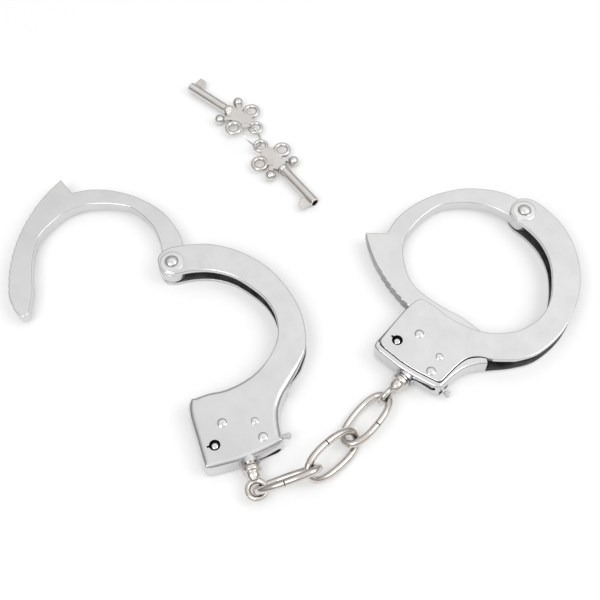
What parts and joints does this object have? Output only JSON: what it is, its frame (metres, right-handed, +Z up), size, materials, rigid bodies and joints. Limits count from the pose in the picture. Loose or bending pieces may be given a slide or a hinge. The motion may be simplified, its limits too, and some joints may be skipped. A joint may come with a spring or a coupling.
{
  "type": "handcuffs",
  "caption": "Swing-arm handcuffs with toothed jaws, sprung pawls and side release levers, joined by a short link chain on swivels, with barrel keys on a wire ring.",
  "frame": {"origin": "centre of the laid-out set on the plane it lies on", "axes": "+X across the set from the open cuff to the closed cuff, +Y towards the keys, +Z up, away from the table"},
  "size_m": [0.2334, 0.2048, 0.0158],
  "materials": {
    "shell_nickel": "polished nickel plate on pressed steel",
    "cover_nickel": "polished nickel plate on flat steel",
    "jaw_nickel": "polished nickel plate with cut teeth",
    "rivet_nickel": "bright nickel plate, domed heads",
    "post_nickel": "bright nickel plate",
    "lock_steel": "plain steel, as stamped",
    "spring_steel": "spring steel, smooth",
    "lever_steel": "nickel plated, satin",
    "swivel_nickel": "turned and nickel plated, slightly warm",
    "chain_nickel": "bent wire, nickel plated, slightly warm",
    "key_nickel": "cast and nickel plated, slightly grainy",
    "ring_wire": "thin bright wire"
  },
  "bodies": {
    "left_frame": {"left_shell_cheek": "shell_nickel", "left_cover_cheek": "cover_nickel", "left_pivot_rivet": "rivet_nickel", "left_pawl_rivet": "rivet_nickel", "left_spring_rivet": "rivet_nickel", "left_lever_rivet": "rivet_nickel", "left_key_post": "post_nickel", "left_pawl_spring": "spring_steel"},
    "left_jaw": {"left_jaw": "jaw_nickel"},
    "left_pawl": {"left_pawl": "lock_steel"},
    "left_lever": {"left_release_lever": "lever_steel"},
    "left_swivel": {"left_swivel": "swivel_nickel"},
    "chain_link_1": {"chain_link_1": "chain_nickel"},
    "chain_link_2": {"chain_link_2": "chain_nickel"},
    "chain_link_3": {"chain_link_3": "chain_nickel"},
    "right_swivel": {"right_swivel": "swivel_nickel"},
    "right_frame": {"right_shell_cheek": "shell_nickel", "right_cover_cheek": "cover_nickel", "right_pivot_rivet": "rivet_nickel", "right_pawl_rivet": "rivet_nickel", "right_spring_rivet": "rivet_nickel", "right_lever_rivet": "rivet_nickel", "right_key_post": "post_nickel", "right_pawl_spring": "spring_steel"},
    "right_jaw": {"right_jaw": "jaw_nickel"},
    "right_pawl": {"right_pawl": "lock_steel"},
    "right_lever": {"right_release_lever": "lever_steel"},
    "key_ring": {"key_ring": "ring_wire"},
    "key_1": {"key_1": "key_nickel"},
    "key_2": {"key_2": "key_nickel"}
  },
  "joints": [
    {"name": "left_jaw_swing", "type": "hinge", "parent": "left_frame", "child": "left_jaw", "pos_m": [-0.04933, -0.00136, 0.0046], "axis": [0, 0, 1], "range_deg": [-70, 174]},
    {"name": "left_lever_push", "type": "hinge", "parent": "left_frame", "child": "left_lever", "pos_m": [-0.0128, -0.07913, 0.0046], "axis": [0, 0, 1], "range_deg": [-5.5, 5.5]},
    {"name": "left_pawl_rock", "type": "hinge", "parent": "left_frame", "child": "left_pawl", "pos_m": [-0.02807, -0.07301, 0.0046], "axis": [0, 0, 1], "range_deg": [-5, 5], "stiffness_Nm_per_rad": 0.01},
    {"name": "left_swivel_spin", "type": "hinge", "parent": "left_frame", "child": "left_swivel", "pos_m": [-0.01727, -0.09043, 0.0046], "axis": [-0.225, 0.9744, 0], "range_deg": [-150, 150]},
    {"name": "link_1_swing", "type": "hinge", "parent": "left_swivel", "child": "chain_link_1", "pos_m": [-0.01556, -0.09783, 0.0046], "axis": [0, 0, 1], "range_deg": [-120, 8]},
    {"name": "link_2_bend", "type": "hinge", "parent": "chain_link_1", "child": "chain_link_2", "pos_m": [0.00617, -0.0915, 0.00815], "axis": [0.6538, -0.1407, 0.7435], "range_deg": [-90, 70]},
    {"name": "link_3_bend", "type": "hinge", "parent": "chain_link_2", "child": "chain_link_3", "pos_m": [0.02214, -0.0791, 0.0034], "axis": [-0.1193, 0.7662, 0.6314], "range_deg": [-75, 30]},
    {"name": "right_eye_swing", "type": "hinge", "parent": "chain_link_3", "child": "right_swivel", "pos_m": [0.03464, -0.06244, 0.0046], "axis": [0.7108, -0.7034, 0], "range_deg": [-90, 90]},
    {"name": "right_swivel_spin", "type": "hinge", "parent": "right_swivel", "child": "right_frame", "pos_m": [0.03999, -0.05704, 0.0046], "axis": [0.7034, 0.7108, 0], "continuous": true},
    {"name": "right_jaw_swing", "type": "hinge", "parent": "right_frame", "child": "right_jaw", "pos_m": [0.09815, 0.01765, 0.0046], "axis": [0, 0, 1], "continuous": true},
    {"name": "right_lever_push", "type": "hinge", "parent": "right_frame", "child": "right_lever", "pos_m": [0.05193, -0.05479, 0.0046], "axis": [0, 0, 1], "range_deg": [-5.5, 5.5]},
    {"name": "right_pawl_rock", "type": "hinge", "parent": "right_frame", "child": "right_pawl", "pos_m": [0.04895, -0.03861, 0.0046], "axis": [0, 0, 1], "range_deg": [-5, 5], "stiffness_Nm_per_rad": 0.01},
    {"name": "key_ring_lift", "type": "slide", "parent": "left_frame", "child": "key_ring", "axis": [0, 0, 1], "range_m": [0, 0.06]},
    {"name": "key_1_turn", "type": "hinge", "parent": "key_ring", "child": "key_1", "pos_m": [-0.01464, 0.07222, 0.0026], "axis": [0, 0, 1], "range_deg": [-30, 30]},
    {"name": "key_2_turn", "type": "hinge", "parent": "key_ring", "child": "key_2", "pos_m": [-0.01244, 0.06182, 0.0026], "axis": [0, 0, 1], "range_deg": [-30, 30]}
  ],
  "couplings": [
    {"joint": "left_lever_push", "follows": "left_pawl_rock", "ratio": -1.087},
    {"joint": "right_lever_push", "follows": "right_pawl_rock", "ratio": -1.087}
  ]
}
